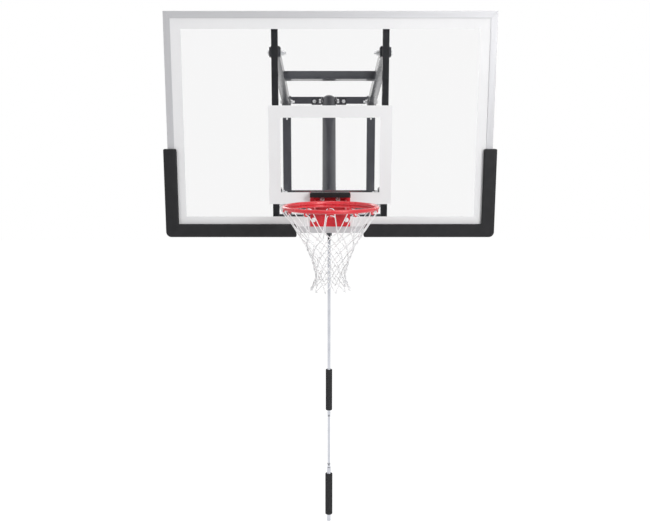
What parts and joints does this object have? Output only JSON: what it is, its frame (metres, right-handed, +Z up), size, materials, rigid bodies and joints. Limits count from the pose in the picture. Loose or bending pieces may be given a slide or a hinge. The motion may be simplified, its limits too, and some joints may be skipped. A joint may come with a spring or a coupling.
{
  "type": "basketball backboard",
  "caption": "Wall-mounted basketball goal: clear framed board with padded lower corners, sprung ring and net, carried on parallel arms that a screw-jack crank raises and lowers.",
  "frame": {"origin": "centre of the four wall bolt holes, on the wall plane behind the two rails", "axes": "+X to the right of someone facing the board, +Y into the wall, +Z up"},
  "size_m": [1.844, 2.008, 3.4964],
  "materials": {
    "dark_paint": "semi-gloss",
    "zinc": "bright zinc",
    "bare_steel": "machined",
    "bright_steel": "polished",
    "bush": "machined",
    "frame": "satin anodised",
    "red_paint": "gloss",
    "glass": "clear",
    "white_print": "printed",
    "pad": "matte foam skin",
    "cover": "moulded",
    "buffer": "matte",
    "net": "braided cord",
    "grip": "foam"
  },
  "bodies": {
    "wall_frame": {"left_wall_rail": "dark_paint", "right_wall_rail": "dark_paint", "top_wall_crossbar": "dark_paint", "bottom_wall_crossbar": "dark_paint", "wall_brackets": "dark_paint", "wall_pivot_bolts": "zinc", "jack_clevis": "dark_paint", "jack_clevis_bolts": "zinc", "jack_pin": "zinc"},
    "upper_arms": {"left_upper_arm": "dark_paint", "right_upper_arm": "dark_paint", "upper_arm_bushes": "bush", "upper_arm_crossbar": "dark_paint"},
    "lower_arms": {"left_lower_arm": "dark_paint", "right_lower_arm": "dark_paint", "lower_arm_bushes": "bush", "lower_front_crossbar": "dark_paint", "lift_crossbar": "dark_paint", "lift_yoke": "dark_paint"},
    "jack_tube": {"jack_outer_tube": "dark_paint", "jack_top_cap": "dark_paint", "jack_gland": "dark_paint", "jack_nut_tube": "bare_steel"},
    "jack_ram": {"ram_tube": "bright_steel", "ram_guide_ring": "bare_steel", "trunnion_collar": "dark_paint", "ram_end_cap": "dark_paint", "crank_head_pin": "zinc"},
    "jack_screw": {"lead_screw": "bare_steel"},
    "crank_head": {"crank_head": "dark_paint"},
    "crank_pole": {"crank_pole": "bright_steel", "upper_fold_pin": "zinc"},
    "upper_grip": {"upper_grip": "grip"},
    "crank_link": {"crank_link": "bright_steel"},
    "crank_handle": {"crank_handle": "bright_steel", "lower_fold_pin": "zinc"},
    "lower_grip": {"lower_grip": "grip"},
    "board": {"glass_pane": "glass", "frame_top": "frame", "frame_bottom": "frame", "frame_left": "frame", "frame_right": "frame", "board_print": "white_print", "left_upright": "dark_paint", "right_upright": "dark_paint", "board_brackets": "dark_paint", "board_pivot_bolts": "zinc", "rim_support_bar": "dark_paint", "rear_rim_plate": "dark_paint", "left_edge_pad": "pad", "right_edge_pad": "pad", "rim_mount_plate": "red_paint", "rim_plate_bolts": "zinc", "rim_hinge_pin": "zinc", "rim_cover": "cover", "rim_buffers": "buffer"},
    "rim": {"rim_carrier": "red_paint", "rim_ring": "red_paint", "net_hooks": "red_paint", "net": "net"}
  },
  "joints": [
    {"name": "lift", "type": "hinge", "parent": "wall_frame", "child": "lower_arms", "pos_m": [0, -0.095, -0.384], "axis": [1, 0, 0], "range_deg": [-4, 38]},
    {"name": "upper_arm_swing", "type": "hinge", "parent": "wall_frame", "child": "upper_arms", "pos_m": [0, -0.095, 0.394], "axis": [1, 0, 0], "range_deg": [-4.5, 38.5]},
    {"name": "board_level", "type": "hinge", "parent": "lower_arms", "child": "board", "pos_m": [0, -1.2435, -0.16075], "axis": [1, 0, 0], "range_deg": [-38.5, 4.5]},
    {"name": "jack_swing", "type": "hinge", "parent": "wall_frame", "child": "jack_tube", "pos_m": [0, -0.105, 0.399], "axis": [1, 0, 0], "range_deg": [-1, 5]},
    {"name": "ram_travel", "type": "slide", "parent": "jack_tube", "child": "jack_ram", "axis": [0, -0.3049, -0.9524], "range_m": [-0.018, 0.155]},
    {"name": "screw_spin", "type": "hinge", "parent": "jack_ram", "child": "jack_screw", "pos_m": [0, -0.39832, -0.51719], "axis": [0, -0.3049, -0.9524], "range_deg": [-600, 5600]},
    {"name": "head_hang", "type": "hinge", "parent": "jack_ram", "child": "crank_head", "pos_m": [0, -0.39832, -0.51719], "axis": [1, 0, 0], "range_deg": [-45, 10]},
    {"name": "crank_spin", "type": "hinge", "parent": "crank_head", "child": "crank_pole", "pos_m": [0, -0.39832, -0.56119], "axis": [0, 0, -1], "range_deg": [-600, 5600]},
    {"name": "upper_grip_spin", "type": "hinge", "parent": "crank_pole", "child": "upper_grip", "pos_m": [0, -0.39832, -1.80419], "axis": [0, 0, 1], "continuous": true},
    {"name": "crank_link_fold", "type": "hinge", "parent": "crank_pole", "child": "crank_link", "pos_m": [0, -0.39832, -1.85119], "axis": [1, 0, 0], "range_deg": [-90, 0]},
    {"name": "crank_handle_fold", "type": "hinge", "parent": "crank_link", "child": "crank_handle", "pos_m": [0, -0.39832, -2.22519], "axis": [1, 0, 0], "range_deg": [0, 90]},
    {"name": "lower_grip_spin", "type": "hinge", "parent": "crank_handle", "child": "lower_grip", "pos_m": [0, -0.39832, -2.29919], "axis": [0, 0, 1], "continuous": true},
    {"name": "rim_flex", "type": "hinge", "parent": "board", "child": "rim", "pos_m": [0, -1.4038, -0.16875], "axis": [1, 0, 0], "range_deg": [0, 20], "stiffness_Nm_per_rad": 900, "springref_deg": -8.59, "deforming": ["rim_buffers"]}
  ],
  "couplings": [
    {"joint": "upper_arm_swing", "follows": "lift", "ratio": 1},
    {"joint": "board_level", "follows": "lift", "ratio": -1},
    {"joint": "jack_swing", "follows": "lift", "ratio": 0.11},
    {"joint": "ram_travel", "follows": "lift", "m_per_rad": 0.23},
    {"joint": "screw_spin", "follows": "lift", "ratio": 144.51},
    {"joint": "crank_spin", "follows": "lift", "ratio": 144.51}
  ]
}
